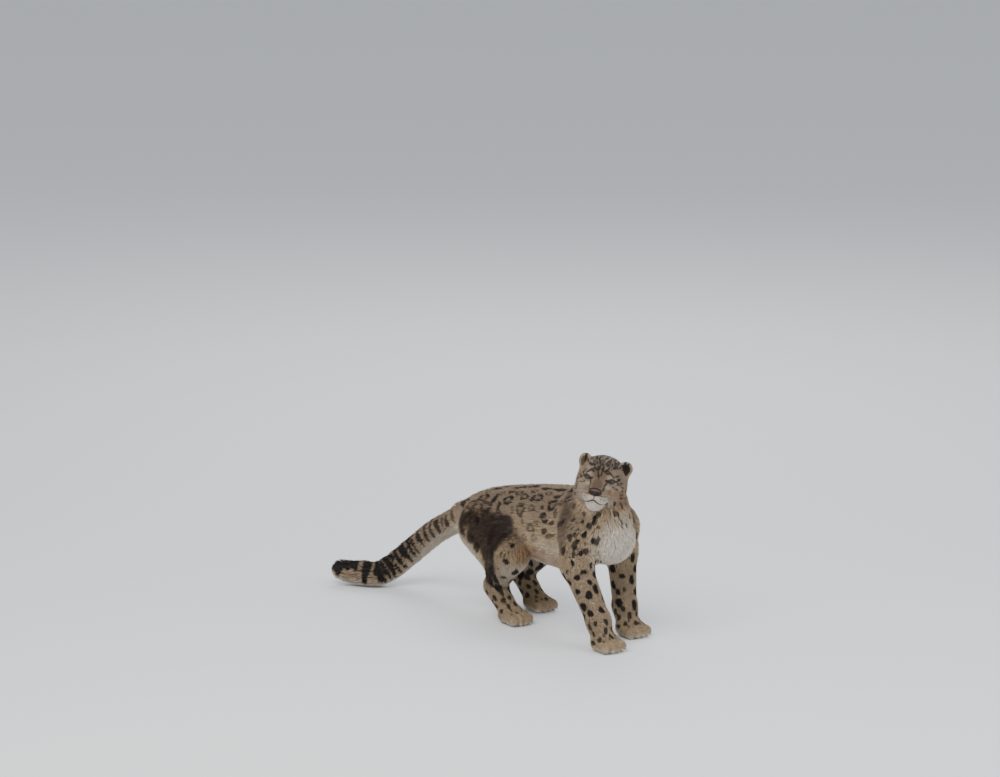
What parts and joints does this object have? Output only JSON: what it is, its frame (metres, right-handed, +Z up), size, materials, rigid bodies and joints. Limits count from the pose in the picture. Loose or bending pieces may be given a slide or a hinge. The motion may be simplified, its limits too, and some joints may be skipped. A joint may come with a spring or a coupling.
{
  "type": "snow leopard, still life-size model",
  "caption": "Life-size still model of a snow leopard in winter coat, standing with its head turned to the right and its long tail resting on the ground.",
  "frame": {"origin": "bottom centre of the overall box, on the floor under the body", "axes": "+X forward along the body from tail to head, +Y to the animal's left, +Z up"},
  "size_m": [1.3105, 0.3793, 0.6129],
  "materials": {
    "coat": "dense smoky cream fur with dark rosettes and spots",
    "pale_coat": "short pale fur of the ears and paws",
    "nose_leather": "fine-grained damp nose leather",
    "eye": "wet pale grey-green eye with a dark rim",
    "claw": "smooth horn"
  },
  "bodies": {
    "root": {"torso": "coat", "neck": "coat", "head": "coat", "nose": "nose_leather", "eye_right": "eye", "eye_left": "eye", "ear_right": "pale_coat", "ear_left": "pale_coat", "foreleg_right": "coat", "foreleg_left": "coat", "forepaw_right": "pale_coat", "forepaw_left": "pale_coat", "hindleg_right": "coat", "hindleg_left": "coat", "hindpaw_right": "pale_coat", "hindpaw_left": "pale_coat", "tail_root": "coat", "tail_middle": "coat", "tail_tip": "coat"}
  },
  "joints": []
}
